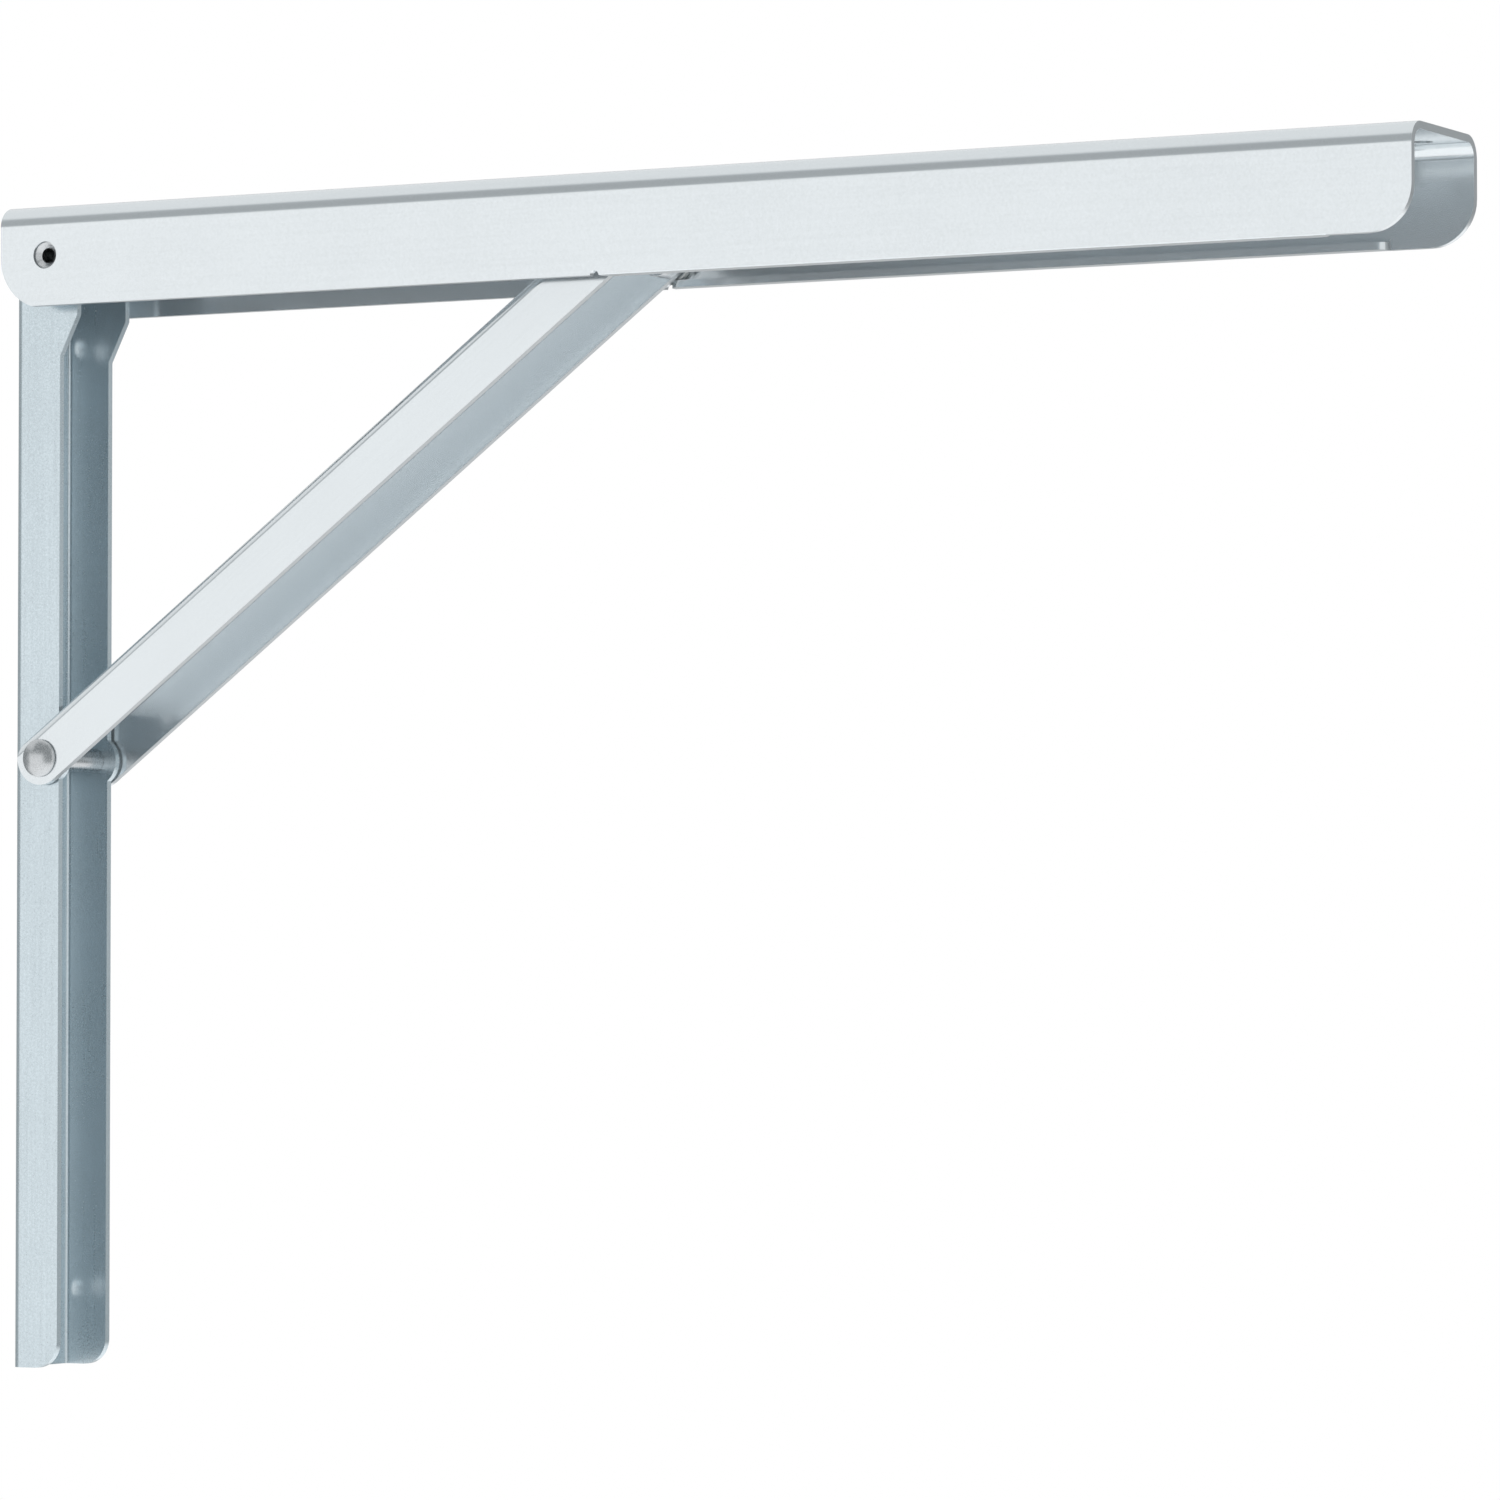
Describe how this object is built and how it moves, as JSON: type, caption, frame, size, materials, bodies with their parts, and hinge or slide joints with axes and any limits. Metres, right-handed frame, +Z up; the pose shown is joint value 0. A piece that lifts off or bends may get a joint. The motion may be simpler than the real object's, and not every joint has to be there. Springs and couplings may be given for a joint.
{
  "type": "folding shelf bracket",
  "caption": "Fold-down shelf bracket: a wall rail, a lipped channel arm that swings down flat, and a channel strut that closes over the rail and runs along the arm on a carriage.",
  "frame": {"origin": "point on the wall face, in the bracket's middle plane, level with the arm's pivot", "axes": "+X out from the wall along the raised arm, +Y across the channels, +Z up"},
  "size_m": [0.5285, 0.054, 0.4015],
  "materials": {
    "zinc_rail": "bright bluish zinc plating on sheet steel",
    "zinc_arm": "bright bluish zinc plating on sheet steel",
    "rivet_steel": "bright steel, turned",
    "glide": "natural nylon"
  },
  "bodies": {
    "rail": {"wall_rail": "zinc_rail", "arm_pivot_pin": "rivet_steel", "arm_pivot_bush_near": "rivet_steel", "arm_pivot_bush_far": "rivet_steel", "strut_pivot_pin": "rivet_steel", "strut_pivot_washer_near": "rivet_steel", "strut_pivot_washer_far": "rivet_steel"},
    "arm": {"support_arm": "zinc_arm", "stop_plate": "zinc_rail", "stop_plate_rivet": "rivet_steel"},
    "strut": {"strut": "zinc_arm", "carriage_pin": "rivet_steel", "carriage_bush_near": "rivet_steel", "carriage_bush_far": "rivet_steel"},
    "carriage": {"carriage": "zinc_rail", "carriage_glide_near": "glide", "carriage_glide_far": "glide", "carriage_rivets_near": "rivet_steel", "carriage_rivets_far": "rivet_steel"}
  },
  "joints": [
    {"name": "arm_fold", "type": "hinge", "parent": "rail", "child": "arm", "pos_m": [0.0195, 0, 0], "axis": [0, 1, 0], "range_deg": [0, 90]},
    {"name": "strut_swing", "type": "hinge", "parent": "rail", "child": "strut", "pos_m": [0.0135, 0, -0.1735], "axis": [0, 1, 0], "range_deg": [0, 126.7]},
    {"name": "carriage_run", "type": "slide", "parent": "arm", "child": "carriage", "axis": [1, 0, 0], "range_m": [0, 0.23374]}
  ],
  "couplings": [
    {"joint": "strut_swing", "follows": "arm_fold", "ratio": 1.4078},
    {"joint": "carriage_run", "follows": "arm_fold", "m_per_rad": 0.1488}
  ]
}
